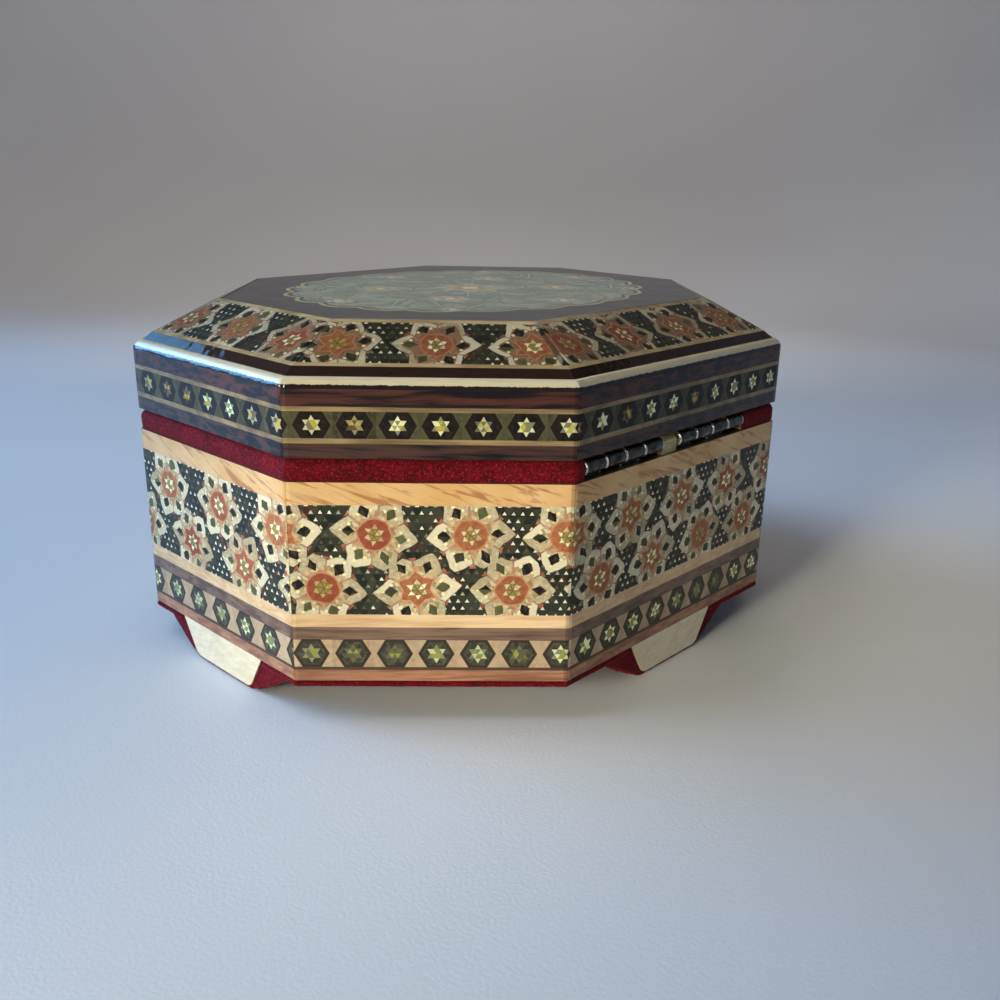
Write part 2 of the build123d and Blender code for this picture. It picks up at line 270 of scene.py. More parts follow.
def triangles(p, x, y, size):
    """Tiling of triangles: column, row, whether one points up, and the depth inside it."""
    row = y / (size * root3 / 2)
    column = x / size - row * 0.5
    i, j = p.floor(column), p.floor(row)
    f, g = column - i, row - j
    down = (f + g) > 1.0
    low = p.min(p.min(f, g), 1.0 - f - g)
    high = p.min(p.min(1.0 - f, 1.0 - g), f + g - 1.0)
    return i, j, 1.0 - down, p.max(low, high)


def sixfold(p, x, y):
    """Along and across the nearest of six rays, the same for the six between, and the ray's number."""
    sector = math.pi / 3
    distance = p.length(x, y)
    angle = p.math("ARCTAN2", y, x)
    number = p.round(angle * (1 / sector))
    within = abs(angle - number * sector)
    along = distance * p.math("COSINE", within)
    across = distance * p.math("SINE", within)
    between = sector / 2 - within
    along_between = distance * p.math("COSINE", between)
    across_between = distance * p.math("SINE", between)
    return along, across, along_between, across_between, number


flower_radius = 7.9
flower_notch = 5.55
petal_bulge = 0.1
petal_band = 1.25
petal_eye = 4.75
petal_cut = 0.16
petal_joint = 0.34
diamond_half_length = 1.35
tip_dot_radius = 0.3
side_dot_radius = 0.32
flower_core = 2.75
flower_ring = 0.3
flower_star = 1.95
inlay_triangle = 1.04
inlay_seam = 0.08
flower_reach = 5.6
dot_spacing = 1.6


def petal_depth(p, along, across):
    """How far inside a petal's edge a point is."""
    reach = flower_radius - flower_notch * math.cos(math.pi / 6)
    rise = flower_notch * math.sin(math.pi / 6)
    slant = math.hypot(reach, rise)
    depth = (flower_radius - along) * (rise / slant) - across * (reach / slant)
    return depth + across * p.max(rise - across, 0.0) * petal_bulge


def add_core(p, rays, dice, speck, grain, fill, colour):
    """Red core in a paler ring, with a brass star in it: colour, and how much it shines."""
    along, across, between, beside, _ = rays
    red = p.mix(dice[2], (150, 78, 54), (172, 116, 72))
    red = p.mix(speck * 0.5 + grain * 0.4 - 0.1, red, (116, 52, 34))
    ring = p.mix(dice[0], (180, 112, 76), (196, 150, 108))
    round_core = between * 0.4 + p.length(along, across) * 0.6
    pointed_core = (between + beside * root3) * 0.72
    core = round_core + (dice[0] > 0.5 - fill * 0.6) * (pointed_core - round_core) * 0.8
    star = (between + beside * root3) < flower_star
    hub = between < flower_star / 2
    brass = p.mix(p.ramp(dice[1], 0.1, 0.55), (190, 164, 96), (255, 250, 200))
    brass = p.mix((speck > 0.75) * 0.5, brass, (150, 110, 56))
    brass = p.mix(hub, brass, p.mix(speck > 0.5, (150, 132, 66), brass))
    joints = star * p.max(across < 0.1, abs(between - flower_star / 2) < 0.07) * (dice[1] < 0.7)
    return p.layers(
        colour,
        (core < flower_core + flower_ring, ring),
        (core < flower_core, red),
        (star, brass),
        (joints * 0.7, (104, 62, 32)),
    ), star * (0.6 - hub * (speck < 0.5) * 0.4)


def flower_colour(p, x, y, dice, ground, fill):
    """One flower over a ground: colour, and how much of it is brass. Fill makes its middle redder."""
    rays = along, across, between, beside, petal = sixfold(p, x, y)
    one, two, three = p.dice(petal + dice[0] * 31.0, dice[1] * 17.0, dice[2] * 7.0)
    i, j, up, inner = triangles(p, x, y, inlay_triangle)
    speck, hue, _ = p.dice(i, j, up)
    grain = p.noise(p.vector(x, y, dice[0] * 9.0), 1.3, 3.0, 0.6)
    depth = petal_depth(p, along, across)
    band = petal_band - fill * 0.35
    inside, middle, off_core = depth > 0.0, depth > band, between > flower_core

    warm = p.layers(
        p.mix(hue, (176, 154, 114), (204, 188, 150)),
        ((speck > 0.66) * 0.5, p.mix(hue, (150, 104, 78), (182, 138, 108))),
        ((speck < 0.2) * (hue > 0.35) * 0.7, (104, 100, 66)),
        (fill, (112, 62, 40)),
    )
    green = p.mix(three, (38, 44, 28), (92, 96, 60))
    dark = p.layers((18, 17, 14), (two > 0.5, green), ((speck > 0.7) * 0.5, (74, 62, 40)))
    rust = p.mix(three, (176, 108, 80), (132, 74, 54))
    cream = p.ramp(one * 0.5 + grain * 0.9 - 0.2, 0.2, 0.7)
    chip_side = (between - flower_notch + 0.5) * 0.55
    chip = (depth < 0.0) * (between < flower_notch + 0.7) * (beside < chip_side)
    cut = inside * (depth < band) * (beside < petal_cut) * off_core
    joint = middle * off_core * (beside < petal_joint)
    outwards = along - petal_eye
    diamond = abs(outwards) * (1 / diamond_half_length) + across / (one * 0.4 + 0.85)
    tip_dot = p.length(outwards - 1.4, across) < tip_dot_radius
    side_dot = p.length(outwards + 0.2, across - 1.25) < side_dot_radius
    dots = p.max(tip_dot, side_dot) * (one > 0.25)
    colour = p.layers(
        ground,
        (chip * 0.8, rust),
        (inside, p.mix(cream, (162, 148, 116), (208, 197, 168))),
        (cut * 0.7, (120, 84, 58)),
        (middle, warm),
        (joint * 0.5, rust),
        ((diamond < 1.0) * inside, dark),
        (dots, (240, 226, 172)),
    )
    colour, shine = add_core(p, rays, dice, speck, grain, fill, colour)
    seam = p.max(abs(depth) < inlay_seam, (inner < 0.03) * inside * middle * 0.6)
    return p.mix(seam * 0.5, colour, (70, 50, 34)), p.max(shine, dots * 0.5)


def dotted_ground(p, along, height):
    """Dark ground set with small pale triangles: colour, and how much of it is brass."""
    i, j, up, depth = triangles(p, along, height, dot_spacing)
    one, two, three = p.dice(i, j, up)
    patch = p.noise(p.vector(along, height), 0.2, 1.0)
    dark = p.mix(one, (22, 23, 17), (58, 58, 42))
    rusty = p.mix(one, (50, 34, 24), (78, 54, 36))
    ground = p.mix((patch + two * 0.16) > 0.72, dark, rusty)
    dot = up * (depth > 0.17) * (two > 0.1)
    light = p.ramp(p.noise(p.vector(along, height, 9.0), 0.16, 1.0) + three * 0.4 - 0.2, 0.36, 0.62)
    shine = p.mix(light, (78, 78, 58), (250, 242, 210))
    return p.mix(dot, ground, shine), dot * light * 0.7


def varnished_inlay(p, colour, brass, grain, gloss):
    """Finishes an inlay of wood and brass under clear varnish."""
    ripple = p.noise(p.here(), 0.35, 2.0)
    return p.finish(
        colour,
        metallic=brass * 0.75,
        roughness=p.ramp(brass, 0.0, 1.0, 0.5, 0.38),
        specular_ior_level=0.05,
        normal=p.corner_bump(grain, 0.02),
        **coat(p.corner_bump(ripple, 0.08), gloss, 0.1, varnish_ior),
    )


def inlay_wear_and_painted_shade(p, colour, along, height, shade=1.0):
    """Breaks up a colour with fibres and cloudy varnish, and darkens the joint at a corner. A shade below
    1 darkens all of it as painted shade.
    """
    fibres = p.noise(p.vector(along * 0.5, height * 4.0), 1.3, 3.0)
    cloud = p.noise(p.vector(along, height), 0.06, 2.0)
    # The joint darkens the corner, and the shade scales the whole tone as painted shade
    joint = p.ramp(p.corner_gap, 0.0, joint_width, 0.55 * shade, shade)
    tone = (fibres * 0.34 + cloud * 0.34 + 0.66) * joint
    return p.mix(1.0, colour, p.vector(tone, tone, tone), "MULTIPLY"), fibres


def make_flower_panel():
    """Two staggered rows of flowers on the body's sides."""
    p = Paint("flower_marquetry_two_rows")
    along, height, number, nx, ny = p.side()
    bottom, top = extent("flower_panels", Z)
    high_row, low_row, row_shift = top - 5.5, bottom + 4.9, 7.6
    pitch = 16.75 + (nx ** 8.0) * 1.55
    shifted = along - nx * nx * 2.9 - nx * ny * 10.9
    high_cell = p.round(shifted / pitch)
    low_cell = p.round((shifted - row_shift) / pitch)
    high_x, high_y = shifted - high_cell * pitch, height - high_row
    low_x, low_y = shifted - row_shift - low_cell * pitch, height - low_row
    pick = (high_x * high_x + high_y * high_y) < (low_x * low_x + low_y * low_y)
    x = low_x + pick * (high_x - low_x)
    y = low_y + pick * (high_y - low_y)
    cell = low_cell + pick * (high_cell - low_cell)
    return flower_material(p, x, y, cell + pick * 50.0, number, along, height)


def make_slope_panel():
    """One row of flowers on the slope of the lid."""
    p = Paint("flower_marquetry_one_row")
    along, height, number, nx, ny = p.side()
    bottom, top = extent("slope_panels", Z)
    _, sloping_top = extent("slope_stringing_high", Z)
    run = extent("slope_panels", X)[1] - extent("top_panel", X)[1]
    steep = (sloping_top - bottom) / math.hypot(sloping_top - bottom, run)
    up_slope = (height - (bottom + top) / 2) / steep
    inset = (height - bottom) / (sloping_top - bottom) * run
    first_inset = half_length - extent("slope_panels", X)[1]
    p.corner_gap = p.corner_gap - (inset + first_inset) * math.tan(math.pi / side_count)
    pitch = 17.0
    shifted = along + ny * ny * 8.0 - nx * ny * 11.8 + 1.4
    cell = p.round(shifted / pitch)
    x = shifted - cell * pitch
    # The slope's colours are darkened as painted shade, for the weaker light on its upward faces
    look = {"gloss": 0.3, "shade": 0.66, "fill": 0.65}
    return flower_material(p, x, up_slope, cell + 90.0, number, along, up_slope, **look)


def flower_material(p, x, y, cell, number, along, height, gloss=0.45, shade=1.0, fill=0.0):
    """Sets a flower a little askew in its cell and finishes the sheet."""
    dice = p.dice(cell, number, 3.0)
    x = x + (dice[0] - 0.5) * 0.5
    y = y + (dice[1] - 0.5) * 0.4
    turn = (dice[2] - 0.5) * 0.3
    x, y = x + y * turn, y - x * turn
    x = x + (p.noise(p.vector(along, height, number), 0.3, 2.0) - 0.5) * 1.3
    y = y + (p.noise(p.vector(along, height, number + 40.0), 0.3, 2.0) - 0.5) * 1.3
    ground, ground_shine = dotted_ground(p, along, height)
    colour, shine = flower_colour(p, x, y, dice, ground, fill)
    covered = p.length(x, y) < flower_reach
    colour, fibres = inlay_wear_and_painted_shade(p, colour, along, height, shade)
    brass = p.max(shine, ground_shine * (1.0 - covered))
    return varnished_inlay(p, colour, brass, fibres, gloss)


star_bands = {
    # On the body, and on the lid
    "half_hexagon": (2.74, 2.72),
    "pitch": (7.5, 7.25),
    "star": (1.9, 1.74),
    "phase": (0.9, 1.7),
    "end_stretch": (0.9, 0.0),
    "rise": (0.25, 0.0),
    "border": (0.2, 0.22),
    "dark": ((44, 44, 32), (14, 11, 6)),
    "less_dark": ((80, 78, 58), (38, 29, 15)),
    "outline": ((50, 40, 30), (28, 19, 11)),
    "line": ((74, 56, 42), (42, 36, 20)),
    "hourglass": ((152, 128, 102), (46, 44, 27)),
    "hourglass_light": ((184, 160, 130), (82, 78, 52)),
    "hourglass_edge": ((196, 176, 144), (96, 88, 58)),
    "dull_star": ((104, 98, 66), (118, 84, 52)),
    "bright_star": ((255, 253, 196), (255, 252, 196)),
    "hub": ((140, 140, 66), (170, 156, 62)),
}
body_stars, lid_stars = ({name: pair[i] for name, pair in star_bands.items()} for i in (0, 1))
hexagon_line = 0.16
hexagon_outline = 0.42


def make_star_band(name, node, band):
    """A row of dark hexagons with brass stars, and hourglasses between them."""
    p = Paint(name)
    half, star = band["half_hexagon"], band["star"]
    along, height, number, nx, _ = p.side()
    bottom, top = extent(node, Z)
    pitch = band["pitch"] + (nx ** 8.0) * band["end_stretch"]
    shifted = along - band["phase"]
    cell = p.round(shifted / pitch)
    x = shifted - cell * pitch
    y = height - (bottom + top) / 2 - band["rise"]
    one, two, _ = p.dice(cell, number, bottom)
    _, _, between, beside, _ = sixfold(p, x, y)
    i, j, up, _ = triangles(p, x, y, star / root3)
    speck = p.dice(i + cell * 9.0, j, up)[0]

    edge = p.max(abs(y), (abs(x) * root3 + abs(y)) * 0.5)
    dark = p.mix(speck, band["dark"], band["less_dark"])
    hub = between < star / 2
    rays = ((between + beside * root3) < star) * (edge < half)
    bright = p.mix(p.ramp(two, 0.15, 0.75), band["dull_star"], band["bright_star"])
    bright = p.mix((speck > 0.62) * 0.7, bright, band["less_dark"])
    colour = p.layers(
        p.mix(one * 0.5 + 0.5 * speck, band["hourglass"], band["hourglass_light"]),
        (edge < half + band["border"], band["hourglass_edge"]),
        (edge < half + hexagon_line, band["line"]),
        (edge < half, p.mix(edge < half - hexagon_outline, band["outline"], dark)),
        (rays, p.mix(hub, bright, p.mix(speck > 0.4, band["hub"], bright))),
        (abs(y) > half, band["line"]),
    )
    shine = (1.0 - (speck < 0.4) * hub) * p.ramp(two, 0.1, 0.6, 0.35, 0.95)
    colour, fibres = inlay_wear_and_painted_shade(p, colour, along, height)
    return varnished_inlay(p, colour, rays * shine, fibres, 0.5)


# Woods and lacquer

def make_wood(name, pale, dark, streak=1.0, slant=0.0, gloss=0.5, rough=0.4, fine=0.25, stretch=0.06):
    """Straight-grained wood of two colours. A slant turns the grain across the strip."""
    p = Paint(name)
    along, height, number, _, _ = p.side()
    x, y, _ = p.split(p.here())
    depth = (x + y) * 0.3
    run = along * math.cos(slant) + height * math.sin(slant) + number * 61.0
    across = height * math.cos(slant) - along * math.sin(slant)
    figure = p.noise(p.vector(run * stretch, across * 0.9, depth), 1.0, 4.0, 0.6, 0.5)
    fibres = p.noise(p.vector(run * 0.22, across * 5.5, depth), 1.0, 3.0, 0.6)
    pores = p.noise(p.vector(run * 0.9, across * 11.0, depth), 1.0, 2.0, 0.7)
    cloud = p.noise(p.vector(along, height, number * 7.0), 0.05, 2.0)
    patch = 0.5
    surplus = (streak + fine + patch - 1.0) * 0.5
    tone = p.ramp(figure * streak + fibres * fine + cloud * patch - surplus, 0.3, 0.72)
    ripple = p.noise(p.vector(along, height, depth), 0.3, 2.0)
    colour = p.layers(
        dark,
        (tone, pale),
        (p.ramp(pores, 0.66, 0.8, 0.0, 0.45), [c * 0.45 for c in linear(*dark)]),
        (p.joint(), [c * 0.3 for c in linear(*dark)]),
    )
    return p.finish(
        colour,
        roughness=p.ramp(pores, 0.3, 0.8, rough - 0.06, rough + 0.1),
        specular_ior_level=0.4 - gloss * 0.5,
        normal=p.corner_bump(pores * 0.6 + fibres * 0.4, 0.03),
        **coat(p.corner_bump(ripple, 0.06), gloss, 0.08, varnish_ior),
    )


def make_feathered_wood():
    """Golden strips with short brown dashes that slant across them; their upward faces are dark, partly a
    dark edge and partly painted shade of the gap under the velvet and hinges.
    """
    p = Paint("golden_feathered_wood")
    along, height, number, _, _ = p.side()
    slant = 0.36
    run = along * math.cos(slant) - height * math.sin(slant) + number * 47.0
    across = height * math.cos(slant) + along * math.sin(slant)
    dashes = p.noise(p.vector(run * 0.1, across * 0.72), 1.0, 3.0, 0.6, 0.8)
    fibres = p.noise(p.vector(run * 0.3, across * 7.0), 1.0, 3.0, 0.6)
    cloud = p.noise(p.vector(along, height, number * 5.0), 0.09, 2.0)
    level = p.split(p.node("NewGeometry").outputs["True Normal"])[Z]
    colour = p.layers(
        p.mix(p.ramp(cloud, 0.3, 0.7), (200, 156, 98), (212, 176, 124)),
        (p.ramp(dashes, 0.5, 0.66) * 0.8, (146, 88, 42)),
        (p.ramp(fibres, 0.45, 0.75) * 0.35, (172, 114, 60)),
        # Upward faces dark: partly a dark edge, partly painted shade under the velvet and the hinges
        ((level > 0.5) * 0.9, (30, 20, 16)),
        (p.joint(), (70, 44, 24)),
    )
    ripple = p.noise(p.vector(along, height), 0.3, 2.0)
    return p.finish(
        colour,
        roughness=p.ramp(fibres, 0.3, 0.8, 0.36, 0.5),
        specular_ior_level=0.3,
        normal=p.corner_bump(fibres, 0.03),
        **coat(p.corner_bump(ripple, 0.05), 0.45, 0.1, varnish_ior),
    )


def make_lacquer():
    """Deep black lacquer over faint grain, with dust and a slow ripple."""
    p = Paint("ebony_lacquered")
    here = p.here()
    x, y, z = p.split(here)
    grain = p.noise(p.vector(x * 0.3, y * 0.3, z * 3.0), 1.0, 3.0)
    dust = p.noise(here, 2.2, 3.0)
    ripple = p.noise(here, 0.22, 2.0)
    return p.finish(
        p.mix(grain, (28, 17, 14), [c * 2.2 + 0.004 for c in linear(28, 17, 14)]),
        roughness=p.ramp(dust, 0.45, 0.8, 0.3, 0.5),
        specular_ior_level=0.0,
        **coat(p.bump(ripple, 0.12), 0.6, 0.05, lacquer_ior),
    )


def make_shoulder():
    """Black moulding with a pale line along its top that has a ragged lower edge; the line is partly a
    pale inlay and partly a painted highlight, light from above reflected in the rounded lacquer.
    """
    p = Paint("black_lacquer_with_pale_line_and_painted_highlight")
    along, height, number, _, _ = p.side()
    bottom, top = extent("shoulder_moulding", Z)
    ragged_edge_wander = p.noise(p.vector(along * 0.55, number * 13.0), 1.0, 4.0, 0.65) - 0.5
    ragged_edge_jag = p.noise(p.vector(along * 3.0, height * 0.6, number * 5.0), 1.0, 3.0, 0.6) - 0.5
    # Ragged lower edge of the pale line, drawn where the painted reflection of light from above ends
    edge = height - (bottom + (top - bottom) * 0.4) + ragged_edge_wander * 0.55 + ragged_edge_jag * 0.5
    fibres = p.noise(p.vector(along * 0.16, height * 4.0, number * 3.0), 1.0, 3.0)
    # Pale line: partly pale inlay, partly painted highlight of light from above
    pale = p.mix(fibres, (172, 160, 132), (202, 192, 166))
    black = p.mix(fibres, (14, 9, 9), (40, 27, 22))
    ripple = p.noise(p.vector(along, height * 1.5, number * 3.0), 0.5, 3.0)
    return p.finish(
        p.mix(p.ramp(edge, -0.04, 0.06), black, pale),
        roughness=p.ramp(fibres, 0.3, 0.7, 0.3, 0.45),
        specular_ior_level=0.0,
        **coat(p.corner_bump(ripple, 0.22), 0.75, 0.06, lacquer_ior),
    )


# Painted oval on the top panel, drawn in one quarter and mirrored into the others

medallion_long = 43.0
medallion_wide = 35.0
oval_edge, gold_edge, ground_edge = 0.985, 0.962, 0.94
scallop_waves = 11.0
bead_count = 44.0
stem_half_width = 0.34
rib_half_width = 0.16
leaves = [
    # x, y, angle in degrees, length, width
    (12.5, 3.2, 20, 4.6, 1.5),
    (4.2, 12.0, 72, 4.6, 1.5),
    (9.2, 8.6, 44, 3.6, 1.3),
    (22.5, 5.0, -18, 4.4, 1.6),
    (24.0, 14.0, 62, 4.6, 1.7),
    (15.0, 19.0, 150, 4.6, 1.6),
    (9.5, 16.5, 205, 3.2, 1.2),
    (30.5, 9.5, 40, 4.4, 1.5),
    (33.8, 3.6, 80, 3.4, 1.2),
    (21.5, 23.0, 20, 4.4, 1.5),
    (9.0, 25.8, 170, 4.2, 1.5),
    (28.5, 18.2, -40, 3.8, 1.3),
]
blooms = [
    # x, y, radius, petals
    (0.0, 0.0, 8.2, 8),
    (17.0, 11.0, 4.4, 6),
    (37.2, 0.0, 3.2, 6),
    (0.0, 27.6, 3.6, 6),
    (28.6, 23.6, 2.2, 5),
]
stems = [
    # x, y, radius of an arc
    (17.0, 11.0, 7.2),
    (31.0, 2.0, 7.6),
    (6.0, 25.0, 7.4),
    (27.0, 18.0, 6.2),
]


def leaf_masks(x, y, leaf):
    """Pointed leaf, 0 outside and 1 inside, and its midrib."""
    at_x, at_y, degrees, length, width = leaf
    cos, sin = math.cos(math.radians(degrees)), math.sin(math.radians(degrees))
    dx, dy = x - at_x, y - at_y
    run = (dx * cos + dy * sin) * (1 / length)
    side = abs(dy * cos - dx * sin)
    inside = (run * run + side * (1 / width)) < 1.0
    return inside, inside * (side < rib_half_width)


def bloom_masks(p, x, y, bloom):
    """Round flower with scalloped petals, its heart and its eye."""
    at_x, at_y, radius, petals = bloom
    dx, dy = x - at_x, y - at_y
    distance = p.length(dx, dy)
    wave = p.math("COSINE", p.math("ARCTAN2", dy, dx) * petals)
    edge = distance - wave * (radius * 0.16)
    return edge < radius * 0.84, edge < radius * 0.5, distance < radius * 0.24


def add_scrolls(p, x, y, oval, stroke, colour):
    """Draws stems, leaves and blooms over a colour, and gives the leaves' green."""
    green = p.mix(stroke, (84, 98, 70), (128, 138, 100))
    pale = p.mix(stroke, (188, 180, 142), (162, 153, 114))
    rose = p.mix(stroke, (170, 112, 88), (192, 148, 110))
    for at_x, at_y, radius in stems:
        ring = abs(p.length(x - at_x, y - at_y) - radius) < stem_half_width
        colour = p.mix(ring * (oval < 0.9), colour, green)
    for leaf in leaves:
        inside, rib = leaf_masks(x, y, leaf)
        colour = p.layers(colour, (inside, green), (rib, pale))
    for bloom in blooms:
        petals, heart, eye = bloom_masks(p, x, y, bloom)
        colour = p.layers(colour, (petals, pale), (heart, rose), (eye, (226, 210, 150)))
    return colour, green


def make_top_panel():
    """Black lacquer with a scalloped oval of leaf scrolls in pale greens."""
    p = Paint("painted_lacquer_panel")
    here = p.here()
    x, y, _ = p.split(here)
    unit_x, unit_y = x * (1 / medallion_long), y * (1 / medallion_wide)
    angle = p.math("ARCTAN2", unit_y, unit_x)
    oval = p.length(unit_x, unit_y) - abs(p.math("SINE", angle * scallop_waves)) * 0.045
    wobble = p.noise(p.vector(x, y), 0.5, 2.0) - 0.5
    fold_x, fold_y = abs(x) + wobble * 0.9, abs(y) + wobble * 0.9
    wash = p.noise(p.vector(x, y), 0.12, 4.0, 0.65)
    stroke = p.noise(p.vector(x, y), 1.1, 3.0, 0.6)

    lacquer = p.mix(stroke, (12, 10, 13), (20, 17, 20))
    ground = p.mix(p.ramp(wash, 0.35, 0.65), (120, 121, 98), (154, 155, 127))
    gold = (oval < oval_edge, (176, 158, 104))
    colour = p.layers(lacquer, gold, (oval < gold_edge, (42, 44, 38)), (oval < ground_edge, ground))
    colour, green = add_scrolls(p, fold_x, fold_y, oval, stroke, colour)
    beads = p.math("SINE", angle * bead_count) > 0.1
    beads = beads * (oval > 0.9) * (oval < 0.925)
    fade = p.ramp(p.noise(p.vector(x, y), 0.35, 3.0), 0.62, 0.8, 0.0, 0.35)
    colour = p.layers(colour, (beads, green), (fade, lacquer))
    dust = p.noise(here, 2.4, 3.0)
    ripple = p.noise(here, 0.1, 2.0)
    return p.finish(
        colour,
        roughness=p.ramp(dust, 0.5, 0.85, 0.3, 0.5),
        specular_ior_level=0.0,
        normal=p.bump(stroke * (oval < oval_edge), 0.02),
        **coat(p.bump(ripple, 0.15), 0.75, 0.06, lacquer_ior),
    )


# Velvet, metal and floor

def make_velvet():
    """Crimson pile, with painted shade between the fibres and painted highlights where their ends catch
    the light.
    """
    p = Paint("crimson_velvet")
    here = p.here()
    tuft = p.noise(here, 2.1, 3.0, 0.6)
    fibre = p.noise(here, 4.0, 2.0, 0.7)
    brushed = p.noise(here, 0.16, 3.0, 0.6, 1.2)
    deep = p.mix(p.ramp(brushed, 0.35, 0.65), (58, 1, 8), (88, 2, 14))
    lit = p.mix(p.ramp(tuft, 0.48, 0.66), deep, (124, 6, 22))
    # Pale pink fibre ends are painted highlights
    pile_with_painted_highlights = p.mix(p.ramp(fibre, 0.6, 0.78, 0.0, 0.8), lit, (212, 88, 102))
    return p.finish(
        # Where the fibre noise is low, (50, 0, 8) is painted shade between the fibres
        p.mix(p.ramp(fibre, 0.26, 0.44), (50, 0, 8), pile_with_painted_highlights),
        roughness=p.ramp(fibre, 0.3, 0.7, 0.8, 0.95),
        normal=p.bump(fibre * 0.55 + tuft * 0.45, 0.22),
        sheen_weight=0.3,
        sheen_roughness=0.35,
        sheen_tint=(236, 120, 132),
        specular_ior_level=0.12,
    )


def knuckle_end_highlights(p, x):
    """Mask of painted highlights: 1 near the ends of the knuckles, 0 elsewhere."""
    near = 0.0
    for hinge in ("left", "right"):
        low, high = extent(f"hinge_{hinge}_pin", X)
        pitch = (high - low) / knuckle_count
        middle = (low + high) / 2
        step = x - low
        seam = abs(step - p.round(step / pitch) * pitch) < 0.32
        near = p.max(near, seam * (abs(x - middle) < (high - low) / 2 + 0.4))
    return near


def make_metal(name, bright, dull, rough, lathe):
    """Worn steel with fine turning marks and tarnish, and painted highlights at the ends of the knuckles.
    """
    p = Paint(name)
    here = p.here()
    x, y, z = p.split(here)
    stain = p.noise(here, 0.55, 4.0, 0.65)
    marks = p.noise(p.vector(x * lathe, y * 1.2, z * 1.2), 3.0, 2.0)
    speck = p.noise(here, 4.5, 2.0)
    colour = p.layers(
        bright,
        (p.ramp(stain, 0.4, 0.66), dull),
        (p.ramp(speck, 0.66, 0.76, 0.0, 0.6), (46, 34, 26)),
        # Painted highlights on the rims of the knuckles' ends
        (knuckle_end_highlights(p, x) * 0.85, (248, 240, 222)),
    )
    return p.finish(
        colour,
        metallic=1.0,
        roughness=p.ramp(stain, 0.3, 0.75, rough, rough + 0.22),
        normal=p.bump(marks * 0.5 + speck * 0.5, 0.04),
    )


def make_floor_material():
    """Pale board with a faint tooth and a slow unevenness of tone."""
    p = Paint("pale_floor")
    here = p.here()
    cloud = p.noise(here, 0.006, 2.0)
    tooth = p.noise(here, 1.6, 3.0)
    return p.finish(
        p.mix(p.ramp(cloud, 0.3, 0.7), (206, 206, 208), (210, 210, 212)),
        roughness=p.ramp(tooth, 0.3, 0.7, 0.55, 0.7),
        normal=p.bump(tooth, 0.05),
    )


# Which material goes on which piece

velvet = make_velvet()
carcass = make_wood("carcass_wood", (206, 168, 120), (162, 118, 74), gloss=0.0, rough=0.6)
facing = {"streak": 0.6, "slant": 0.25, "gloss": 0.25, "rough": 0.45, "fine": 0.2, "stretch": 0.12}
rosewood = {"gloss": 0.42, "rough": 0.35}
materials = {
    "flower_panels": make_flower_panel(),
    "slope_panels": make_slope_panel(),
    "star_band": make_star_band("star_marquetry_body", "star_band", body_stars),
    "lid_star_band": make_star_band("star_marquetry_lid", "lid_star_band", lid_stars),
    "top_panel": make_top_panel(),
    "shoulder_moulding": make_shoulder(),
    "ebony_strips": make_lacquer(),
    "rim_strips": make_feathered_wood(),
    "light_strips": make_wood("light_wood", (220, 190, 148), (188, 150, 108), streak=0.8, slant=0.03),
    "brown_strips": make_wood("brown_wood", (124, 98, 80), (78, 56, 44), gloss=0.4),
    "base_strips": make_wood("orange_wood", (176, 126, 94), (124, 80, 58), slant=0.02, gloss=0.4),
    "rosewood_strips": make_wood("rosewood", (76, 40, 28), (16, 8, 7), 1.9, 0.03, **rosewood),
    "lid_base_strips": make_wood("dark_rosewood", (68, 44, 34), (10, 7, 6), 2.0, -0.04, **rosewood),
    # The back wall is dark brown: partly a dark edge, partly painted shade under the hinges
    "wall_back": make_wood("dark_edge_wood_with_painted_shade", (56, 40, 30), (24, 16, 12), gloss=0.0, rough=0.6),
    "rim_lip": make_wood("bare_lip_wood", (206, 188, 138), (158, 132, 82), streak=0.8, gloss=0.2),
}
shared_materials = {
    # A word in the names of the pieces, and their material
    "lid_stringing": make_wood("stringing_wood", (148, 126, 88), (98, 80, 52), 0.9, gloss=0.4),
    "slope_stringing": make_wood("slope_stringing_wood", (178, 156, 114), (132, 108, 70), 0.9, gloss=0.6),
    "facing": make_wood("cream_foot_wood", (232, 220, 196), (210, 192, 156), **facing),
    "nails": make_metal("nail_steel_worn", (176, 168, 150), (112, 100, 82), 0.3, 1.0),
    "hinge": make_metal("hinge_steel_worn_with_painted_highlights", (92, 90, 84), (48, 44, 40), 0.2, 0.3),
    "velvet": velvet,
}


def material_of(name):
    """Material under a CAD piece's own name, or under the first shared word in it."""
    shared = [material for word, material in shared_materials.items() if word in name]
    return materials.get(name, (shared + [carcass])[0])


for name, piece in nodes.items():
    for place in piece.material_slots:
        place.material = material_of(name)


# Small rounded edges on the lacquer, wood and metal

def round_edges(piece, width):
    """Takes the sharpness off a CAD piece's edges, without touching its mesh."""
    weld = piece.modifiers.new("weld", "WELD")
    weld.merge_threshold = 1e-6
    bevel = piece.modifiers.new("bevel", "BEVEL")
    bevel.width = width * mm
    bevel.segments = 3
    bevel.limit_method = "ANGLE"
    bevel.angle_limit = math.radians(28)
    bevel.harden_normals = True


for name, piece in nodes.items():
    if name == "top_panel":
        round_edges(piece, 0.45)
    elif name.endswith("_facing"):
        round_edges(piece, 0.16)
    elif name.endswith(("_block", "_leaf", "_pin")):
        round_edges(piece, 0.1)


# Outlines and skins of modelled cloth

path_step = 0.6
corner_steps = 5


def side_line(number, inset):
    """Direction in which a side of the octagon looks, and its distance, drawn in by an inset."""
    distances = (half_width, corner_distance, half_length, corner_distance)
    return math.radians(45 * number - 90), distances[number % 4] - inset


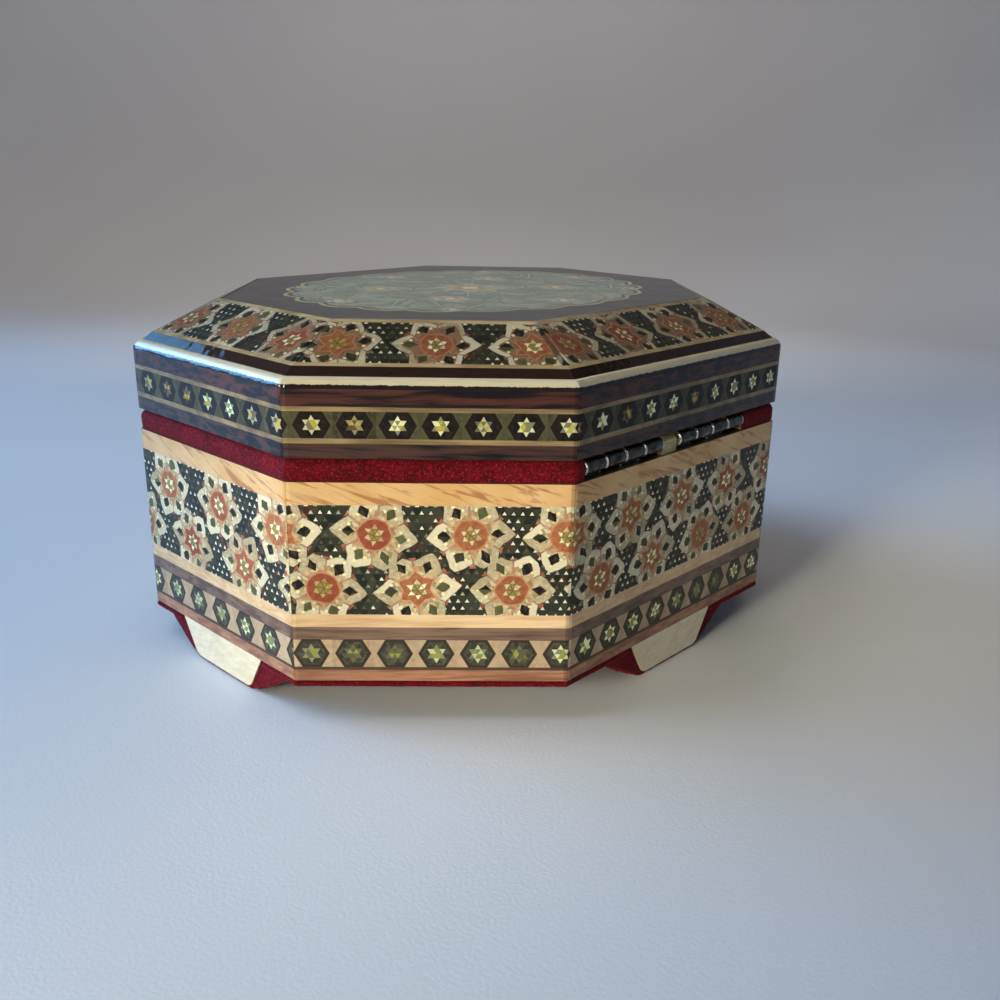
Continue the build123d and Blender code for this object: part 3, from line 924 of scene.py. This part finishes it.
def corner(index, inset):
    """Where two sides of the octagon meet, drawn in by an inset."""
    a, reach_a = side_line(index - 1, inset)
    b, reach_b = side_line(index, inset)
    det = math.sin(b - a)
    x = (reach_a * math.sin(b) - reach_b * math.sin(a)) / det
    y = (reach_b * math.cos(a) - reach_a * math.cos(b)) / det
    return Vector((x, y))


def outline(inset, radius, gap=None):
    """Points round the octagon with rounded corners, and with a gap at the back if one is given."""
    turn = math.tau / side_count
    reach = radius * math.tan(turn / 2)
    last = back_side + side_count
    points = []
    for i in range(back_side, last + (1 if gap else 0)):
        a, b = corner(i, inset), corner(i + 1, inset)
        steps = math.ceil((corner(i + 1, 0) - corner(i, 0)).length / path_step)
        along = (b - a).normalized()
        start, end = a + along * reach, b - along * reach
        if gap and i == back_side:
            start = Vector((gap[0], a.y))
        if i == last:
            end = Vector((gap[1], a.y))
        points += [start.lerp(end, s / steps) for s in range(steps + 1)]
        if i == last:
            break
        inwards = Vector((-along.y, along.x))
        centre = end + inwards * radius
        for s in range(1, corner_steps):
            angle = turn * s / corner_steps
            points.append(centre + Matrix.Rotation(angle, 2) @ (-inwards * radius))
    return points


def make_mesh(name, points, faces, material, rough_by=0.0, seed=0.0):
    """Smooth mesh from points in millimetres, with its surface moved in and out a little."""
    mesh = bpy.data.meshes.new(name)
    bm = bmesh.new()
    verts = [bm.verts.new(point) for point in points]
    for face in faces:
        bm.faces.new([verts[i] for i in face])
    bmesh.ops.recalc_face_normals(bm, faces=bm.faces)
    bm.normal_update()
    slow, quick = 0.45, 2.3
    offset = Vector((seed, seed * 2, seed * 3))
    for v in bm.verts:
        wave = noise.noise(v.co * slow + offset) * 0.5 + noise.noise(v.co * quick + offset) * 0.5
        v.co += v.normal * wave * rough_by
        v.co.z = max(v.co.z, 0.0)
    for v in bm.verts:
        v.co *= mm
    for face in bm.faces:
        face.smooth = True
    bm.to_mesh(mesh)
    bm.free()
    mesh.materials.append(material)
    piece = bpy.data.objects.new(name, mesh)
    bpy.context.scene.collection.objects.link(piece)
    return piece


def ring_faces(length, a, b, closed=True):
    """Faces between two rings of points, whose first points have the numbers a and b."""
    steps = [(j, (j + 1) % length) for j in range(length if closed else length - 1)]
    return [(a + j, a + k, b + k, b + j) for j, k in steps]


def octagon_rings(profile, gap=None):
    """Rings of points round the octagon, one for each (inset, height, corner radius)."""
    return [[(*point, z) for point in outline(inset, radius, gap)] for inset, z, radius in profile]


def sweep(name, profile, gap=None, rough_by=0.05):
    """Cloth whose section, a loop of (inset, height, corner radius), runs round the octagon."""
    rings = octagon_rings(profile, gap)
    length = len(rings[0])
    points = [point for ring in rings for point in ring]
    starts = range(0, len(points), length)
    faces = []
    for start in starts:
        faces += ring_faces(length, start, (start + length) % len(points), gap is None)
    if gap:
        faces.append(list(starts))
        faces.append([start + length - 1 for start in starts])
    return make_mesh(name, points, faces, velvet, rough_by, seed=len(name))


def skin(name, rings, rough_by, seed):
    """Velvet over closed rings of points, with a cap at each end."""
    length = len(rings[0])
    points = [point for ring in rings for point in ring]
    last = len(points) - length
    faces = []
    for start in range(0, last, length):
        faces += ring_faces(length, start, start + length)
    faces.append(list(range(length)))
    faces.append(list(range(last, len(points))))
    return make_mesh(name, points, faces, velvet, rough_by, seed)


def arc(centre, radius, start, end, steps):
    """Points on an arc of a section, from one angle in degrees to another."""
    angles = [math.radians(start + (end - start) * s / steps) for s in range(steps + 1)]
    return [(centre[0] + radius * math.cos(a), centre[1] + radius * math.sin(a)) for a in angles]


def around(inset):
    """Length of the way round the octagon at an inset."""
    return sum((corner(i + 1, inset) - corner(i, inset)).length for i in range(side_count))


def cut_cloth(size, area=None):
    """Works out a piece's cloth size in metres, and its area in square metres if one is given; neither is
    kept.
    """
    flat = [side * mm for side in size]
    area and area * mm * mm


def dress(piece, body, *stood_for):
    """Makes a velvet piece ride on a body in place of CAD nodes."""
    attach(piece, body)
    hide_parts(*stood_for)
    return piece


# Velvet on the rim, the walls, the pads and the underside

hinge_clearance = 0.4
pad_edge_overlap = 0.1


def make_rim_band():
    """Velvet that wraps the lip and bulges under the lid, open at the back for the hinges."""
    low, high = extent("velvet_rim_band", Z)
    left = extent("hinge_left_body_leaf", X)[0] - hinge_clearance
    right = extent("hinge_right_body_leaf", X)[1] + hinge_clearance
    outer, core, bulge = 0.12, 0.75, 1.6
    section = [(outer + 0.25, low + 0.02), (outer + 0.02, low + 0.5)]
    section += arc((outer + bulge, high - bulge), bulge, 180, 90, 7)
    section += [(2.6, high), (3.6, high), (wall_inset, high), (wall_inset, high - 0.6)]
    section += [(core + 1.0, high - 0.6), (core, high - 1.6), (core, low + 0.02)]
    profile = [(inset, height, max(0.4, 1.8 - inset * 0.2)) for inset, height in section]
    band = dress(sweep("rim_band_velvet", profile, (left, right), 0.1), "box", "velvet_rim_band")
    drop = high - low
    size = (around(outer) - (right - left), drop + wall_inset + drop / 2)
    cut_cloth(size)


def make_lining(name, node, body, low, high):
    """Velvet on the inside of the walls, with soft upper and lower edges."""
    outer = wall_inset + 0.02
    inner = lining_inset
    soft = (inner - outer) * 0.45
    middle = (outer + inner) / 2
    section = [(outer, low), (outer, high)]
    section += arc((middle, high - soft), soft, 100, 0, 4)
    section += [(inner, high + (low - high) * s / 8) for s in range(1, 8)]
    section += arc((middle, low + soft), soft, 0, -100, 4)
    profile = [(inset, height, 0.6) for inset, height in section]
    lining = dress(sweep(name, profile, None, 0.06), body, node)
    cut_cloth((around(inner), high - low))


def make_pad(name, node, body, upwards):
    """Padded octagon, fuller in the middle and drawn in at the edge."""
    low, high = extent(node, Z)
    seat, crown = (low, high) if upwards else (high, low)
    levels = [(0.0, 0.0), (0.0, 0.3), (0.12, 0.55), (0.5, 0.78), (1.4, 0.88), (3.0, 0.93)]
    levels += [(3.0 + s * 3.0, 0.94 + 0.06 * s / 16) for s in range(1, 17)]
    edge = lining_inset - pad_edge_overlap
    profile = [(edge + inwards, seat + (crown - seat) * rise, 1.2) for inwards, rise in levels]
    pad = dress(skin(name, octagon_rings(profile), 0.05, 3.0), body, node)


def behind_facing(point):
    """Draws a point of the underside's edge in behind a foot's facing."""
    x, y = point
    step_back = 2.4
    for reach, across, along in ((half_width, y, x), (half_length, x, y)):
        depth = reach - abs(across)
        if depth < step_back and abs(along) < foot_half_top + 0.5:
            moved = math.copysign(reach - step_back - depth * 0.1, across)
            return (x, moved) if reach == half_width else (moved, y)
    return x, y


def make_underside():
    """Velvet sheet under the floor board, with an edge that swells out a little."""
    section = [(1.2, underside_z - 0.1), (0.4, underside_z - 0.1)]
    section += arc((0.35, underside_z - 0.75), 0.55, 90, 270, 8)
    section += [(1.2 + 2.6 * s, underside_z - 1.32 + 0.05 * min(s, 6)) for s in range(18)]
    rings = octagon_rings([(inset, height, 1.0) for inset, height in section])
    rings = [[(*behind_facing((x, y)), z) for x, y, z in ring] for ring in rings]
    sheet = dress(skin("underside_velvet", rings, 0.1, 5.0), "box", "velvet_underside")
    corners = 2 * (half_length - long_side / 2) * (half_width - end_side / 2)
    area = 4 * half_length * half_width - corners
    cut_cloth((2 * half_length, 2 * half_width), area)


# Velvet on the feet

foot_half_top = 14.0
foot_half_bottom = 9.6
foot_depth = 6.2
foot_front = 0.35
front_roll = 1.1
back_roll = 2.0
flare_along = 12.4
flare_inwards = 7.6
flare_levels = 18
foot_cloth = (42.0, 20.0)


def foot_path():
    """Plan of the velvet at the sole: along, inwards, and the way in which it flares."""
    half = foot_half_bottom + 0.75
    start = foot_front + front_roll
    path = []
    for s in range(6):
        angle = math.radians(270 - 90 * s / 5)
        lead = 1.0 - 0.3 * (1.0 - s / 5) ** 2
        along = -half + front_roll + front_roll * math.cos(angle)
        path.append((along, start + front_roll * math.sin(angle), -lead, 0.0))
    path += [(-half, start + (foot_depth - back_roll - start) * s / 7, -1.0, 0.0) for s in range(1, 7)]
    for s in range(7):
        angle = math.radians(180 - 90 * s / 6)
        nt, nd = math.cos(angle), math.sin(angle)
        path.append((-half + back_roll + back_roll * nt, foot_depth - back_roll + back_roll * nd, nt, nd))
    mirrored = [(-t, d, -nt, nd) for t, d, nt, nd in reversed(path)]
    width = 2 * half - 2 * back_roll
    path += [(-half + back_roll + width * s / 20, foot_depth, 0.0, 1.0) for s in range(1, 20)]
    return path + mirrored


def foot_rings():
    """Rings of the velvet round a foot: along the side, inwards, up."""
    path = foot_path()
    top = underside_z - 0.85
    rings = []
    for level in range(flare_levels + 1):
        u = level / flare_levels
        height = top * u ** 1.2
        ring = [(t + nt * flare_along * u, d + nd * flare_inwards * u, height) for t, d, nt, nd in path]
        end, start = ring[-1], ring[0]
        face = [(end[0] + (start[0] - end[0]) * s / 40, foot_front, height) for s in range(1, 40)]
        rings.append(ring + face)
    rings.append([(t, d, top + 0.5) for t, d, _ in rings[-1]])
    return rings


def make_foot_velvet(foot, outwards, distance):
    """Velvet that covers a foot's block, flares out above, and shows as a line round the facing."""
    outwards = Vector(outwards)
    sideways = Vector((-outwards.y, outwards.x))
    rings = []
    for flat_ring in foot_rings():
        plan = [outwards * (distance - inwards) + sideways * along for along, inwards, _ in flat_ring]
        rings.append([(at.x, at.y, point[Z]) for at, point in zip(plan, flat_ring)])
    piece = skin(f"foot_{foot}_velvet_cover", rings, 0.3, distance)
    dress(piece, "box", f"foot_{foot}_velvet")
    cut_cloth(foot_cloth)


make_rim_band()
lining_top = extent("velvet_wall_lining", Z)[1]
make_lining("wall_lining_velvet", "velvet_wall_lining", "box", floor_top, lining_top)
make_lining("lid_lining_velvet", "velvet_lid_lining", "lid", lid_z, roof_z)
make_pad("floor_pad_velvet", "velvet_floor_pad", "box", True)
make_pad("lid_pad_velvet", "velvet_lid_pad", "lid", False)
make_underside()
make_foot_velvet("front", (0, -1), half_width)
make_foot_velvet("right", (1, 0), half_length)
make_foot_velvet("back", (0, 1), half_width)
make_foot_velvet("left", (-1, 0), half_length)


# Floor, light and camera

floor_radius, floor_rings = 480.0, 6
bend_radius, bend_steps = 220.0, 12
wall_height = 620.0
floor_sides = 96
camera_place = (163.2, 163.8, 98.3)
camera_turn = (-136.8, 18.5, 1.1)
camera_lens = 36.05


def make_studio():
    """Pale floor that curves up into a low wall a good way off."""
    profile = [(floor_radius * s / floor_rings, 0.0) for s in range(1, floor_rings + 1)]
    profile += arc((floor_radius, bend_radius), bend_radius, -90, 0, bend_steps)[1:]
    profile.append((floor_radius + bend_radius, wall_height))
    angles = [math.tau * j / floor_sides for j in range(floor_sides)]
    points = [(0.0, 0.0, 0.0)]
    for radius, height in profile:
        points += [(radius * math.cos(a), radius * math.sin(a), height) for a in angles]
    faces = [(0, 1 + j, 1 + (j + 1) % floor_sides) for j in range(floor_sides)]
    for start in range(1, len(points) - floor_sides, floor_sides):
        faces += ring_faces(floor_sides, start, start + floor_sides)
    make_mesh("studio_floor", points, faces, make_floor_material())


def add_light(name, at, aim, size, power, colour, spread=180):
    """Soft rectangular light at a place, aimed at another, with a beam of spread degrees."""
    data = bpy.data.lights.new(name, "AREA")
    data.shape = "RECTANGLE"
    data.size, data.size_y = size[0] * mm, size[1] * mm
    data.energy = power
    data.color = colour
    data.spread = math.radians(spread)
    light = bpy.data.objects.new(name, data)
    place = Vector(at) * mm
    light.location = place
    light.visible_camera = False
    light.rotation_euler = (Vector(aim) * mm - place).to_track_quat("-Z", "Y").to_euler()
    bpy.context.scene.collection.objects.link(light)


def add_camera():
    """Camera at the place and turn that the photograph was taken from."""
    place = Vector(camera_place) * mm
    heading, pitch, roll = (math.radians(degrees) for degrees in camera_turn)
    level = math.cos(pitch)
    forward = Vector((math.cos(heading) * level, math.sin(heading) * level, -math.sin(pitch)))
    level_right = Vector((math.sin(heading), -math.cos(heading), 0.0))
    level_up = level_right.cross(forward)
    right = level_right * math.cos(roll) + level_up * math.sin(roll)
    up = right.cross(forward)
    data = bpy.data.cameras.new("camera")
    data.lens = camera_lens
    data.sensor_width = 36.0
    data.clip_start, data.clip_end = 0.01, 10.0
    camera = bpy.data.objects.new("camera", data)
    camera.matrix_world = Matrix.Translation(place) @ Matrix((right, up, -forward)).transposed().to_4x4()
    bpy.context.scene.collection.objects.link(camera)
    bpy.context.scene.camera = camera


def add_world():
    """Weak warm light from all round."""
    world = bpy.data.worlds.new("world")
    world.use_nodes = True
    background = world.node_tree.nodes["Background"]
    background.inputs["Color"].default_value = (0.8, 0.74, 0.68, 1.0)
    background.inputs["Strength"].default_value = 0.045
    bpy.context.scene.world = world


make_studio()
add_camera()
add_world()
add_light("window_light", (290, -480, 220), (20, 0, 60), (640, 360), 1.45, (0.19, 0.52, 1.0), 70)
add_light("warm_key", (360, 83, 110), (46, 58, 32), (120, 120), 0.088, (1.0, 0.93, 0.71), 34)
add_light("high_window", (240, -120, 520), (70, 40, 0), (240, 240), 0.9, (0.98, 0.96, 0.95))
add_light("back_light", (-310, -280, 380), (60, 60, 0), (260, 260), 0.5, (1.0, 0.9, 0.8))
add_light("wall_light", (-170, -170, 260), (-560, -560, 200), (260, 160), 0.5, (1.0, 0.88, 0.76))
bpy.context.scene.view_settings.view_transform = "Standard"
